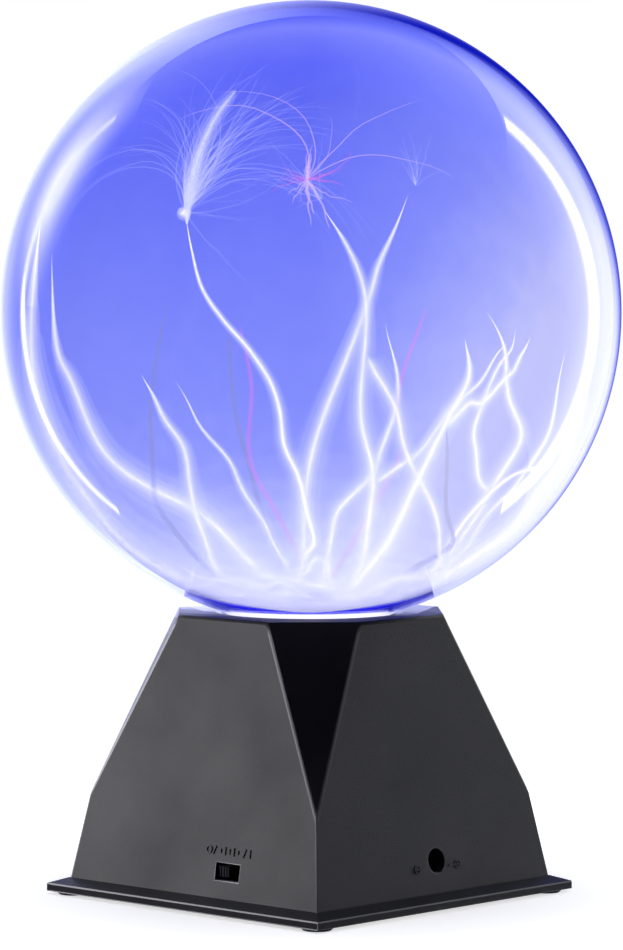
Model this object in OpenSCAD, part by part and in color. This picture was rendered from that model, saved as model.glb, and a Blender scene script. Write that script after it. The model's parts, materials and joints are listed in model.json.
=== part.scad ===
// Plasma ball: a blown glass globe on a faceted pyramid base, with its driver board inside.
// Millimetres. +Z is up and the origin is on the table, under the middle of the base.
// The front (-Y) face carries the mode switch and the right (+X) face carries the power inlet.

/* [Globe] */
// Outside diameter of the glass ball
globe_d = 203.2; // [198:0.2:208]
// Thickness of the blown glass
globe_wall = 2; // [1.6:0.1:2.6]
// Outside diameter of the glass neck
neck_d = 58; // [56:0.5:59]
// Height of the ball's centre above the table
globe_z = 190.6; // [190:0.1:191.5]
// Radius of the hollow curve between ball and neck
neck_fillet = 3; // [2.5:0.1:3.4]

/* [Electrode] */
// Diameter of the mushroom head on the glass stem
electrode_d = 36.8; // [30:0.2:40]
// Height of the electrode's crown above the table
electrode_top = 100.5; // [99:0.1:104]
// Outside diameter of the glass stem tube
stem_d = 18; // [16:0.5:20]

/* [Housing] */
// Width of the housing where it meets the tray
housing_w = 111.4; // [108:0.1:113]
// Width of the housing's flat top
top_w = 82; // [80:0.1:86]
// Height of the flat top above the table
top_z = 93.1; // [92:0.1:93.2]
// Leg of each corner facet, measured along the top's sides
facet_leg = 21.4; // [16:0.1:26]
// Height at which the corner facets start
facet_z = 32.7; // [28:0.1:40]
// Wall thickness of the moulded housing
wall = 2.4; // [2:0.1:2.8]

/* [Tray] */
// Width of the square tray
tray_w = 122.4; // [120:0.1:126]
// Height of the tray's upright edge
tray_edge = 2.6; // [2.5:0.1:3]
// Height of the sloped shoulder above that edge
shoulder = 1.9; // [1.5:0.1:2.2]
// How far the rubber feet hold the tray off the table
foot_lift = 1; // [0.6:0.1:2]
// Diameter of each rubber foot
foot_d = 10; // [8:0.5:11]

/* [Mode switch] */
// Offset of the slot from the front face's middle
switch_x = 15.1; // [12:0.1:18]
// Height of the slot's middle above the table
switch_z = 13.9; // [13.5:0.1:14.2]
// Width of the slot in the wall
slot_w = 10.6; // [10:0.1:12]
// Height of the slot in the wall
slot_h = 5.5; // [5:0.1:6]
// Distance between two of the three positions
switch_step = 2.5; // [2:0.1:2.5]

/* [Power inlet] */
// Offset of the inlet from the right face's middle
jack_y = 2; // [-4:0.1:6]
// Height of the inlet's axis above the table
jack_z = 15.7; // [15.5:0.1:16]
// Diameter of the hole in the wall
jack_hole_d = 7.8; // [7:0.1:8.4]
// Diameter of the contact pin inside the plug
jack_pin_d = 2; // [1.6:0.1:2.5]

/* [Hidden] */

$fn = 48;
clear = 0.05;          // gap between pieces that fit together
far = 200;             // longer than anything that is cut away

// Levels, from the table up
tray_z0 = foot_lift;                         // underside of the tray
floor_z = tray_z0 + 2.5;                     // top of the tray's floor
edge_z = tray_z0 + tray_edge;                // top of the tray's upright edge
seam_z = edge_z + shoulder;                  // top of the shoulder, where the housing shows
boss_z = floor_z + 2.1;                      // where the housing's bosses stand on the tray's pads
board_z0 = floor_z + 4.1;                    // underside of the circuit board
board_t = 1.6;
board_z = board_z0 + board_t;                // top of the circuit board
top_t = 2.6;                                 // thickness of the housing's top

// Slope of the four main faces, and of the four corner facets
lean = (housing_w - top_w) / 2 / (top_z - seam_z);
function half(z) = housing_w / 2 - lean * (z - seam_z);
face_angle = atan(lean);
facet_low = sqrt(2) * half(facet_z);
facet_high = (top_w - facet_leg) / sqrt(2);
facet_angle = atan((facet_low - facet_high) / (top_z - facet_z));
skin = wall / cos(face_angle);               // the wall, measured level

// Board outline and fixings
board_x = [-38, 49];
board_y = [-49, 22];
board_notch = 9;
board_holes = [[-34, -45], [36.5, -45], [-34, 18], [45, 18]];
boss_at = 46;                                // corner screws, from the middle
foot_at = 55;                                // feet, from the middle
foot_recess = 1.3;                           // how deep a foot sits in the tray
foot_chamfer = 0.5;
corners = [[1, 1], [-1, 1], [-1, -1], [1, -1]];

// Parts on the board
chip_at = [8, -21];
filter_at = [31, -14];
coupling_at = [22, -30];
film_at = [12, 0];
diode_at = [28, 12];
mic_at = [-8, -43.5];
transformer_at = [-19, -10];
transistor_at = [2, 12.5];
resistor_at = [for (i = [0:4]) [-30 + 5 * i, -32]];

// Transformer: the wide core window carries the primary spool on its right leg, the secondary on its left
leg_w = 8;                                   // side of the square ferrite legs
leg_gap = 17;                                // distance between the two legs' axes
core_z = board_z + 2;                        // underside of the core
window_z = core_z + leg_w;                   // bottom of the core's window
window_h = 18;                               // clear height of the core's window
core_mid = window_z + window_h / 2;          // where the two halves meet
core_top = 2 * core_mid - core_z;
primary_at = transformer_at + [leg_gap / 2, 0];
secondary_at = transformer_at - [leg_gap / 2, 0];
spool_r = 6.8;                               // outside of the spool's barrel
flange_r = 8.4;                              // outside of its two flanges
potting_r = 8;                               // outside of the resin round the secondary
clip_t = 0.4;                                // thickness of the steel strap round the core
coil_r = 7.2;                                // outside of the secondary's wire
coil_in = 6.4;                               // inside of the secondary's wire
post_z = core_top + 0.6;                     // underside of the arm that carries the output post
lead_start = [secondary_at.x, secondary_at.y, post_z + 3.6];   // top of the output post

// Mode switch
knob_w = 4.2;
knob_h = 3.4;
knob_sunk = 1.1;                             // from the housing's face in to the knob's face
frame_w = 20;                                // width of the switch's metal frame
frame_h = 6.4;
frame_d = 4.2;
sheet_t = 0.5;                               // thickness of that frame's metal
switch_front = -(half(switch_z) - skin) + 1.6;   // front of that frame

// Holes in the board, one for each lead

chip_leads = [for (i = [0:3], s = [-1, 1]) [chip_at.x - 3.81 + 2.54 * i, chip_at.y + 3.81 * s]];
filter_leads = [for (s = [-1, 1]) [filter_at.x + 2.5 * s, filter_at.y]];
coupling_leads = [for (s = [-1, 1]) [coupling_at.x + 1.25 * s, coupling_at.y]];
film_leads = [for (s = [-1, 1]) [film_at.x + 7.5 * s, film_at.y]];
diode_leads = [for (s = [-1, 1]) [diode_at.x + 6 * s, diode_at.y]];
mic_leads = [for (s = [-1, 1]) [mic_at.x + 1.27 * s, mic_at.y]];
transistor_leads = [for (i = [-1:1]) [transistor_at.x + 2.54 * i, transistor_at.y - 3.5]];
resistor_leads = [for (p = resistor_at, s = [-1, 1]) [p.x, p.y + 5 * s]];
switch_leads = [for (i = [-1.5:1:1.5]) [switch_x + 2.5 * i, switch_front + 4.2]];
jack_leads = [[board_x[1] - 12, jack_y], [board_x[1] - 6, jack_y], [board_x[1] - 9, jack_y + 3.2]];
bobbin_leads = [for (s = [-1, 1], t = [-1, 1]) primary_at + [5 * s, 9 * t]];
all_leads = concat(chip_leads, filter_leads, coupling_leads, film_leads, diode_leads, mic_leads,
    transistor_leads, resistor_leads, switch_leads, jack_leads, bobbin_leads);
lead_r = 0.4;

// Glass, electrode and neck
globe_r = globe_d / 2;
neck_r = neck_d / 2;
neck_end = 76;                               // where the neck is fused to the stem's flange
flange_t = 2;                                // thickness of that flange
hole_r = neck_r + 1.5;                       // hole in the housing's top
collar_wall = 2.4;
collar_end = 80;                             // lower end of the collar round the neck
stem_r = stem_d / 2;
stem_wall = 1.4;
head_r = electrode_d / 2;
head_rise = 5;                               // crown of the mushroom above its widest ring
head_drop = 4.5;                             // underside of the mushroom below that ring
head_z = electrode_top - head_rise;
wire_r = 0.5;                                // bare wire inside the head
joint_z = 86;                                // where the insulated lead ends and the bare wire starts
lead_outer = 1.6;                            // radius of the insulated lead

// ---- Shapes used by several parts ----

// A four-sided frustum from half width a0 at z0 to half width a1 at z1.
module frustum(a0, a1, z0, z1) {
    polyhedron(
        points = concat(
            [for (c = corners) [a0 * c.x, a0 * c.y, z0]],
            [for (c = corners) [a1 * c.x, a1 * c.y, z1]]),
        faces = [[0, 1, 2, 3], [7, 6, 5, 4], [0, 4, 5, 1], [1, 5, 6, 2], [2, 6, 7, 3], [3, 7, 4, 0]]);
}

// The housing's outline, moved inwards by inset, from z0 up to z1.
module pyramid(inset, z0, z1) {
    level = inset / cos(face_angle);
    difference() {
        frustum(half(z0) - level, half(z1) - level, z0, z1);
        for (i = [0:3])
            rotate([0, 0, 45 + 90 * i])
                translate([facet_low - inset / cos(facet_angle), 0, facet_z])
                    rotate([0, -facet_angle, 0])
                        translate([0, -far / 2, -far / 8])
                            cube([far / 2, far, far]);
    }
}

// Places children on the outside of the front face, x along the face and y up it.
module on_front(x, z) {
    translate([x, -half(z), z]) rotate([90 - face_angle, 0, 0]) children();
}

// Places children on the outside of the right face, x along the face and y up it.
module on_right(y, z) {
    translate([half(z), y, z]) rotate([0, 0, 90]) rotate([90 - face_angle, 0, 0]) children();
}

// A bar of width w, with square ends, from point a to point b in the XY plane.
module stroke(a, b, w) {
    d = b - a;
    translate(a) rotate([0, 0, atan2(d.y, d.x)]) translate([0, -w / 2]) square([norm(d), w]);
}

// A ring of outer radius r and wall w.
module ring_2d(r, w) {
    difference() {
        circle(r);
        circle(r - w);
    }
}

module ring(r_out, r_in, z0, z1) {
    translate([0, 0, z0]) difference() {
        cylinder(r = r_out, h = z1 - z0);
        translate([0, 0, -1]) cylinder(r = r_in, h = z1 - z0 + 2);
    }
}

// A straight lead from height z down to the board's underside, at each point of a list.
module leads(points, z) {
    for (p = points)
        translate([p.x, p.y, board_z0]) cylinder(r = lead_r, h = z - board_z0, $fn = 16);
}

// A pan-head screw with its head at the bottom, pointing up from z = 0.
module screw_up(head_r, head_h, shank_r, length) {
    difference() {
        union() {
            cylinder(r = head_r, h = head_h);
            translate([0, 0, head_h]) cylinder(r = shank_r, h = length);
        }
        for (a = [0, 90])
            rotate([0, 0, a]) translate([-head_r * 0.62, -head_h * 0.18, -1])
                cube([head_r * 1.24, head_h * 0.36, 1 + head_h * 0.55]);
    }
}

// Points of the arc of radius r round centre c from angle a to angle b.
function arc(c, r, a, b, n) = [for (i = [0:n]) let (t = a + (b - a) * i / n) c + r * [cos(t), sin(t)]];

// Points of the quarter ellipse with half axes rx and ry round centre c from angle a to b.
function oval(c, rx, ry, a, b, n) =
    [for (i = [0:n]) let (t = a + (b - a) * i / n) [c.x + rx * cos(t), c.y + ry * sin(t)]];

// Half outline of the ball and its neck, grown inwards by inset, from the neck's end to the crown.
function globe_outline(inset) =
    let (
        r = globe_r - inset,
        n_r = neck_r - inset,
        f = neck_fillet + inset,
        f_x = n_r + f,
        f_z = globe_z - sqrt(pow(r + f, 2) - f_x * f_x),
        turn = atan2(globe_z - f_z, -f_x)
    )
    concat(
        [[n_r, neck_end]],
        arc([f_x, f_z], f, 180, turn, 6),
        [for (p = arc([0, globe_z], r, turn - 180, 90, 60)) if (p.x > 0.01) p],
        [[0, globe_z + r]]);

// A smooth curve through points p: n steps of a Catmull-Rom span between each pair.
function spline(p, n) = concat(
    [for (i = [0:len(p) - 2], j = [0:n - 1])
        let (
            a = p[max(i - 1, 0)], b = p[i], c = p[i + 1], d = p[min(i + 2, len(p) - 1)],
            t = j / n
        )
        0.5 * (2 * b + (c - a) * t + (2 * a - 5 * b + 4 * c - d) * t * t
            + (3 * b - a - 3 * c + d) * t * t * t)],
    [p[len(p) - 1]]);

function unit(v) = v / norm(v);

// A round tube of radius r swept along path, closed at both ends.
module tube(path, r, sides) {
    n = len(path);
    function along(i) = unit(path[min(i + 1, n - 1)] - path[max(i - 1, 0)]);
    rings = [for (i = [0:n - 1])
        let (t = along(i), u = unit(cross(t, [0, 1, 0])), v = cross(t, u))
        for (k = [0:sides - 1])
            path[i] + r * (cos(360 * k / sides) * u + sin(360 * k / sides) * v)];
    polyhedron(
        points = rings,
        faces = concat(
            [[for (k = [0:sides - 1]) k]],
            [[for (k = [0:sides - 1]) n * sides - 1 - k]],
            [for (i = [0:n - 2], k = [0:sides - 1])
                let (a = i * sides + k, b = i * sides + (k + 1) % sides)
                [a, a + sides, b + sides, b]]));
}

// ---- Globe and electrode ----

// The blown ball with its open neck.
module glass_globe() {
    color([0.55, 0.58, 1, 0.35])
        rotate_extrude($fn = 96)
            polygon(concat(
                globe_outline(0),
                [for (p = [len(globe_outline(globe_wall)) - 1:-1:0]) globe_outline(globe_wall)[p]]));
}

// Outline of the mushroom head and stem, grown inwards by inset.
function head_outline(inset) =
    let (
        rx = head_r - inset,
        s_r = stem_r - inset,
        stop = -acos(s_r / rx)
    )
    concat(
        oval([0, head_z], rx, head_rise - inset, 90, 0, 12),
        [for (p = oval([0, head_z], rx, head_drop - inset, 0, stop, 8)) if (p.y < head_z) p]);

// The glass stem: a flange fused to the neck, a tube and the hollow mushroom head.
module stem_glass() {
    inner = head_outline(stem_wall);
    color([0.85, 0.88, 0.95, 0.5]) union() {
        rotate_extrude($fn = 64)
            polygon(concat(
                head_outline(0),
                [[stem_r, neck_end + 3], [stem_r + 1, neck_end + 1], [stem_r + 3, neck_end]],
                [[neck_r, neck_end], [neck_r, neck_end - flange_t], [stem_r - stem_wall, neck_end - flange_t]],
                [for (i = [len(inner) - 1:-1:0]) inner[i]]));
        // The nipple that is left where the globe was pumped out and sealed off
        translate([0, 18, neck_end - 10]) cylinder(r1 = 0.8, r2 = 3, h = 8.2, $fn = 24);
    }
}

// The conductive wool packed into the head.
module electrode_wool() {
    outline = head_outline(stem_wall + 0.3);
    color([0.3, 0.3, 0.32]) difference() {
        rotate_extrude($fn = 64)
            polygon(concat(outline, [[0, outline[len(outline) - 1].y]]));
        translate([0, 0, head_z - far]) cylinder(r = wire_r + clear, h = far + 2, $fn = 24);
    }
}

// The bare wire that carries the high voltage into the wool.
module electrode_lead() {
    color("silver") translate([0, 0, joint_z]) cylinder(r = wire_r, h = head_z + 2 - joint_z, $fn = 24);
}

// Silicone ring that centres the neck in the housing's collar.
module neck_gasket() {
    color("whitesmoke") ring(hole_r - clear, neck_r + clear, collar_end + 1, 88.5);
}

// Bead of silicone that holds the neck to the collar.
module neck_adhesive() {
    color([0.9, 0.9, 0.88]) rotate_extrude($fn = 64)
        polygon([
            [neck_r + clear, collar_end - 2.6], [neck_r + clear, collar_end - clear],
            [hole_r + collar_wall, collar_end - clear], [hole_r + 1.4, collar_end - 1.4]
        ]);
}

// Soft plug that closes the stem's tube round the high-voltage lead.
module stem_boot() {
    tube_r = stem_r - stem_wall;
    flange_z = neck_end - flange_t;
    color([0.75, 0.2, 0.15]) difference() {
        union() {
            translate([0, 0, flange_z - 2]) cylinder(r = tube_r - clear, h = 8);
            translate([0, 0, flange_z - 4]) cylinder(r1 = tube_r - 2, r2 = tube_r + 1, h = 4 - clear);
        }
        translate([0, 0, neck_end - far / 2]) cylinder(r = lead_outer + clear, h = far, $fn = 24);
    }
}

// Insulated lead from the transformer's output up into the stem.
module high_voltage_lead() {
    color([0.8, 0.12, 0.1])
        tube(spline([
            lead_start, lead_start + [0, 0, 1.5], lead_start + [0, 0, 3], [-24, -9, 57], [-16, -6, 60], [-7, -2.5, 60.5],
            [-1, -0.4, 63.5], [0, 0, 68], [0, 0, 70], [0, 0, 78], [0, 0, joint_z]
        ], 5), lead_outer, 10);
}

// ---- Housing, tray, feet and screws ----

mark_h = 0.3;          // relief of the moulded marks
mark_w = 0.5;          // width of their strokes

// The marks over the switch: a ring for off, a wave for sound and a bar for on.
module switch_marks() {
    slash = [1.1, 2.8];
    translate([-9, 0]) ring_2d(1.35, mark_w);
    translate([9, 0]) stroke([0, -1.35], [0, 1.35], mark_w);
    for (s = [-1, 1])
        translate([6.6 * s, 0]) stroke(-slash / 2, slash / 2, mark_w);
    for (i = [-2:2]) {
        rise = [0.7, 1.35, 0.9, 1.35, 0.7][i + 2];
        translate([1.9 * i, 0]) stroke([0, -rise], [0, rise], mark_w);
    }
}

// The marks beside the inlet: ring minus and ring plus, each on a short line.
module inlet_marks() {
    for (s = [-1, 1]) {
        translate([9.6 * s, 0]) ring_2d(1.5, mark_w);
        stroke([9.6 * s - 0.75, 0], [9.6 * s + 0.75, 0], mark_w);
        stroke([5.4 * s, 0], [8.4 * s, 0], mark_w);
    }
    translate([9.6, 0]) stroke([0, -0.75], [0, 0.75], mark_w);
}

// The pyramid shell with its neck collar, screw bosses, switch slot and inlet hole.
module upper_housing() {
    rib_z = boss_z + 0.2;
    color([0.13, 0.13, 0.14]) difference() {
        union() {
            difference() {
                pyramid(0, floor_z, top_z);
                pyramid(wall, floor_z - 1, top_z - top_t);
            }
            translate([0, 0, collar_end]) cylinder(r = hole_r + collar_wall, h = top_z - top_t + 0.5 - collar_end);
            intersection() {
                pyramid(wall / 2, floor_z, top_z);
                for (c = corners)
                    translate([boss_at * c.x, boss_at * c.y, 0]) {
                        translate([0, 0, boss_z]) cylinder(r = 3.8, h = 18);
                        translate([c.x > 0 ? 0 : -12, -0.8, rib_z]) cube([12, 1.6, 16]);
                        translate([-0.8, c.y > 0 ? 0 : -12, rib_z]) cube([1.6, 12, 16]);
                    }
            }
            on_front(switch_x, switch_z + 6.6) linear_extrude(2 * mark_h, center = true) switch_marks();
            on_right(jack_y, jack_z - 2) linear_extrude(2 * mark_h, center = true) inlet_marks();
        }
        // Neck hole with a small countersink
        rotate_extrude($fn = 96)
            polygon([
                [0, collar_end - 1], [hole_r, collar_end - 1], [hole_r, top_z - 0.6],
                [hole_r + 0.8, top_z + 0.2], [0, top_z + 0.2]
            ]);
        for (c = corners)
            translate([boss_at * c.x, boss_at * c.y, boss_z - 1]) cylinder(r = 1.25, h = 14);
        translate([switch_x - slot_w / 2, -far / 2, switch_z - slot_h / 2])
            cube([slot_w, far / 2 - 40, slot_h]);
        translate([40, jack_y, jack_z]) rotate([0, 90, 0]) cylinder(r = jack_hole_d / 2, h = 30);
    }
}

// The flanged tray that closes the housing from below and carries the board.
module base_tray() {
    gap = 0.1;
    land = 0.2;
    above = seam_z + 1;
    color([0.1, 0.1, 0.105]) difference() {
        union() {
            translate([-tray_w / 2, -tray_w / 2, tray_z0]) cube([tray_w, tray_w, edge_z - tray_z0]);
            frustum(tray_w / 2, half(seam_z) + gap + land, edge_z, seam_z);
        }
        // Hollow over the floor, with the pads and posts left standing
        difference() {
            frustum(half(floor_z) + gap, half(above) + gap, floor_z, above);
            for (c = corners)
                translate([boss_at * c.x, boss_at * c.y, 0]) cylinder(r = 5.5, h = boss_z);
            for (p = board_holes)
                translate([p.x, p.y, 0]) cylinder(r = 2.8, h = board_z0);
        }
        for (c = corners) {
            translate([boss_at * c.x, boss_at * c.y, tray_z0 - 1]) {
                cylinder(r = 1.7, h = 20);
                cylinder(r = 3.3, h = 3.4);
            }
            translate([foot_at * c.x, foot_at * c.y, tray_z0 - 1])
                cylinder(r = foot_d / 2 + 0.1, h = 1 + foot_recess);
        }
        for (p = board_holes)
            translate([p.x, p.y, floor_z - 1]) cylinder(r = 0.95, h = 20, $fn = 24);
        // Ventilation slots
        for (s = [-1, 1], i = [-3:3])
            translate([7 * i - 1.1, 26 * s - 9, tray_z0 - 1]) cube([2.2, 18, 20]);
    }
}

module case_screws() {
    color("dimgray") for (c = corners)
        translate([boss_at * c.x, boss_at * c.y, tray_z0 + 0.3]) screw_up(2.8, 2.05, 1.2, 12);
}

module foot(i) {
    color([0.05, 0.05, 0.05]) translate([foot_at * corners[i].x, foot_at * corners[i].y, 0]) {
        cylinder(r1 = foot_d / 2 - foot_chamfer, r2 = foot_d / 2, h = foot_chamfer);
        translate([0, 0, foot_chamfer])
            cylinder(r = foot_d / 2, h = foot_lift + foot_recess - foot_chamfer);
    }
}

// ---- Circuit board ----

module circuit_board() {
    color([0.1, 0.35, 0.18]) difference() {
        translate([board_x[0], board_y[0], board_z0])
            cube([board_x[1] - board_x[0], board_y[1] - board_y[0], board_t]);
        translate([board_x[1] - board_notch, board_y[0] - 1, 0]) cube([far, board_notch + 1, far]);
        for (p = board_holes)
            translate([p.x, p.y, 0]) cylinder(r = 1.4, h = 30, $fn = 24);
        for (p = all_leads)
            translate([p.x, p.y, 0]) cylinder(r = lead_r + clear, h = 30, $fn = 16);
    }
}

module board_screws() {
    color("silver") for (p = board_holes)
        translate([p.x, p.y, board_z + 1.6]) mirror([0, 0, 1]) screw_up(2.4, 1.6, 0.9, 4.6);
}

module solder_joints() {
    color([0.75, 0.76, 0.78]) for (p = all_leads)
        translate([p.x, p.y, board_z0 - 0.9]) cylinder(r1 = 0.4, r2 = 1, h = 0.9, $fn = 16);
}

// ---- Mode switch ----

window_w = knob_w + 2 * switch_step + 0.6;

// Stamped frame with the window that the knob slides in and two tabs that stand on the board.
module switch_frame() {
    x0 = switch_x - frame_w / 2;
    z0 = switch_z - frame_h / 2;
    color("lightgray") difference() {
        union() {
            translate([x0, switch_front, z0]) cube([frame_w, frame_d, frame_h]);
            for (x = [x0, x0 + frame_w - sheet_t])
                translate([x, switch_front + 1.6, board_z]) cube([sheet_t, 2.4, z0 + 1 - board_z]);
        }
        translate([x0 + sheet_t, switch_front + sheet_t, z0 - 1])
            cube([frame_w - 2 * sheet_t, frame_d, frame_h + 1 - sheet_t]);
        translate([switch_x - window_w / 2, switch_front - 1, switch_z - knob_h / 2 - 0.3])
            cube([window_w, 3, knob_h + 0.6]);
    }
}

// Insulating base that holds the terminals.
module switch_base() {
    w = frame_w - 2 * sheet_t - 0.2;
    color([0.45, 0.28, 0.15]) difference() {
        translate([switch_x - w / 2, switch_front + 3, board_z]) cube([w, 2.4, switch_z + 2.6 - board_z]);
        for (p = switch_leads)
            translate([p.x, p.y, 0]) cylinder(r = lead_r + clear, h = board_z + 3, $fn = 16);
    }
}

// The moulded knob with its guide, in the off position.
module switch_slider() {
    x = switch_x - switch_step;
    y = -half(switch_z) + knob_sunk;
    guide_w = frame_w - 2 * sheet_t - 0.4 - 2 * switch_step;
    color([0.07, 0.07, 0.07]) union() {
        translate([x - knob_w / 2, y, switch_z - knob_h / 2]) cube([knob_w, switch_front + 1.5 - y, knob_h]);
        translate([x - guide_w / 2, switch_front + 0.7, switch_z - 2.4]) cube([guide_w, 1.9, 4.8]);
        for (i = [-1:1])
            translate([x + 1.2 * i, y, switch_z - knob_h / 2]) cylinder(r = 0.3, h = knob_h, $fn = 16);
    }
}

module switch_terminals() {
    color("silver") leads(switch_leads, board_z + 3);
}

// ---- Power inlet ----

jack_front = board_x[1] + 1.2;
jack_depth = 9.5;
jack_tail_r = 0.8;

module jack_housing() {
    color([0.06, 0.06, 0.06]) difference() {
        union() {
            translate([jack_front - 14, jack_y - 4.5, board_z]) cube([14, 9, 6.6]);
            translate([jack_front - 14, jack_y, jack_z]) rotate([0, 90, 0]) cylinder(r = 4.5, h = 14);
            translate([jack_front - 3.2, jack_y - 4.5, board_z]) cube([3.2, 9, jack_z + 4.5 - board_z]);
        }
        translate([jack_front - jack_depth, jack_y, jack_z]) rotate([0, 90, 0]) cylinder(r = 3.2, h = 20);
        translate([jack_front - 20, jack_y, jack_z]) rotate([0, 90, 0])
            cylinder(r = jack_tail_r + clear, h = 20);
        for (p = jack_leads)
            translate([p.x, p.y, 0]) cylinder(r = lead_r + clear, h = board_z + 2, $fn = 16);
    }
}

// The round contact that the plug slides over, on the thinner tail that holds it in the housing.
module jack_pin() {
    color("gold") translate([jack_front - jack_depth, jack_y, jack_z]) rotate([0, 90, 0]) {
        translate([0, 0, clear]) cylinder(r = jack_pin_d / 2, h = jack_depth - clear - 0.6);
        translate([0, 0, -4.1]) cylinder(r = jack_tail_r, h = 5);
    }
}

module jack_terminals() {
    color("silver") leads(jack_leads, board_z + 1.9);
}

// ---- Transformer ----

// One U of the ferrite core, opening upwards, with its legs' ends at core_mid.
module core_half() {
    span = leg_gap + leg_w;
    translate([transformer_at.x - span / 2, transformer_at.y - leg_w / 2, core_z]) cube([span, leg_w, leg_w]);
    for (p = [primary_at, secondary_at])
        translate([p.x - leg_w / 2, p.y - leg_w / 2, core_z]) cube([leg_w, leg_w, core_mid - core_z]);
}

module core_half_lower() {
    color([0.2, 0.2, 0.21]) union() core_half();
}

module core_half_upper() {
    color([0.2, 0.2, 0.21]) translate([0, 0, 2 * core_mid]) mirror([0, 0, 1]) union() core_half();
}

// Steel strap that pulls the two halves together.
module core_clip() {
    inner = [leg_gap + leg_w + 0.1, 6, core_top - core_z + 0.1];
    color("silver") translate([transformer_at.x, transformer_at.y, core_mid]) difference() {
        cube([inner.x + 2 * clip_t, 4, inner.z + 2 * clip_t], center = true);
        cube(inner, center = true);
    }
}

// Spool on the right leg, standing on the board by its two feet.
module transformer_bobbin() {
    z1 = window_z + window_h - 0.2;
    foot_y = 9;
    color([0.85, 0.8, 0.65]) difference() {
        translate([primary_at.x, primary_at.y, 0]) union() {
            translate([0, 0, window_z]) cylinder(r = spool_r, h = z1 - window_z);
            for (z = [window_z, z1 - 1])
                translate([0, 0, z]) cylinder(r = flange_r, h = 1);
            for (s = [-1, 1]) {
                translate([-6.5, foot_y * s - 1.6, board_z]) cube([13, 3.2, window_z + 1 - board_z]);
                translate([-4, s > 0 ? 5 : -foot_y, window_z]) cube([8, foot_y - 5, 1]);
            }
        }
        translate([primary_at.x - leg_w / 2 - 0.1, primary_at.y - leg_w / 2 - 0.1, 0])
            cube([leg_w + 0.3 + clip_t, leg_w + 0.2, far]);
        for (p = bobbin_leads)
            translate([p.x, p.y, 0]) cylinder(r = lead_r + clear, h = board_z + 3, $fn = 16);
    }
}

// A few turns of thick enamelled wire side by side, and the pins that they end on.
module primary_winding() {
    turns = 12;
    wire = 0.6;
    axis_r = spool_r + clear + wire;
    color([0.72, 0.35, 0.15]) {
        translate([primary_at.x, primary_at.y, window_z + 2])
            rotate_extrude($fn = 48)
                polygon(concat(
                    [[spool_r + clear, 2 * wire * turns], [spool_r + clear, 0]],
                    [for (i = [0:turns - 1], k = [0:4])
                        [axis_r + (wire - 0.1) * sin(45 * k), wire * (2 * i + 1 - cos(45 * k))]]));
        leads(bobbin_leads, board_z + 3);
    }
}

// Many turns of fine wire on the left leg, cast in resin.
secondary_z = window_z + 1.4;
secondary_h = window_h - 2.8;
module secondary_winding() {
    color([0.65, 0.3, 0.12]) translate([secondary_at.x, secondary_at.y, 0])
        ring(coil_r, coil_in, secondary_z, secondary_z + secondary_h);
}

// Cast resin round the fine winding, with an arm round the core to the output post.
module secondary_potting() {
    z0 = window_z;
    arm = [-10.6, -5];                       // across the arm, from the leg's axis
    color([0.12, 0.12, 0.13]) difference() {
        translate([secondary_at.x, secondary_at.y, 0]) union() {
            translate([0, 0, z0]) cylinder(r = potting_r, h = window_h - 0.2);
            translate([arm.x, -3, z0]) cube([arm.y - arm.x, 6, post_z + 2 - z0]);
            translate([arm.x, -3, post_z]) cube([4 - arm.x, 6, 3]);
            translate([0, 0, post_z]) cylinder(r = 3.4, h = lead_start.z - post_z);
        }
        translate([secondary_at.x - leg_w / 2 - 0.2 - clip_t, secondary_at.y - leg_w / 2 - 0.1, 0])
            cube([leg_w + 0.3 + clip_t, leg_w + 0.2, post_z]);
        translate([secondary_at.x, secondary_at.y, 0])
            ring(coil_r + clear, coil_in - clear, secondary_z - clear, secondary_z + secondary_h + clear);
    }
}

// ---- Power stage ----

sink_w = 30;
sink_h = 24;
sink_y = transistor_at.y + 2.6;        // front of the heat sink's back plate

// Bent aluminium channel with cooling fins.
module heat_sink() {
    color("silver") difference() {
        union() {
            translate([transistor_at.x - sink_w / 2, sink_y, board_z]) cube([sink_w, 1.6, sink_h]);
            for (i = [0:5])
                translate([transistor_at.x - sink_w / 2 + i * (sink_w - 1.2) / 5, sink_y, board_z])
                    cube([1.2, 6.4, sink_h]);
        }
        translate([transistor_at.x, 0, board_z + 17.5]) rotate([-90, 0, 0]) cylinder(r = 1.3, h = far);
    }
}

// TO-220 package: tab, moulded body and three legs.
module power_transistor() {
    back = sink_y - 0.3;
    color([0.15, 0.15, 0.15]) {
        difference() {
            union() {
                translate([transistor_at.x - 5, back - 1.3, board_z + 5]) cube([10, 1.3, 15.6]);
                translate([transistor_at.x - 5, back - 4.4, board_z + 5]) cube([10, 3.2, 9]);
            }
            translate([transistor_at.x, 0, board_z + 17.5]) rotate([-90, 0, 0]) cylinder(r = 1.8, h = far);
        }
        for (p = transistor_leads) {
            translate([p.x - 0.35, back - 2.6, board_z + 3]) cube([0.7, 0.6, 2.5]);
            translate([p.x - 0.35, p.y - 0.35, board_z + 3]) cube([0.7, back - 2 + 0.35 - p.y, 0.7]);
            translate([p.x, p.y, board_z0]) cylinder(r = lead_r, h = board_z + 3.3 - board_z0, $fn = 16);
        }
    }
}

// Mica sheet between the transistor and the heat sink.
module transistor_pad() {
    color([0.85, 0.82, 0.7]) difference() {
        translate([transistor_at.x - 6, sink_y - 0.25, board_z + 4]) cube([12, 0.2, 18]);
        translate([transistor_at.x, 0, board_z + 17.5]) rotate([-90, 0, 0]) cylinder(r = 1.8, h = far);
    }
}

module transistor_screw() {
    color("dimgray") translate([transistor_at.x, sink_y - 0.3 - 1.3 - 2 - clear, board_z + 17.5])
        rotate([-90, 0, 0]) screw_up(2.7, 2, 1.2, 6);
}

// ---- Small parts ----

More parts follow.
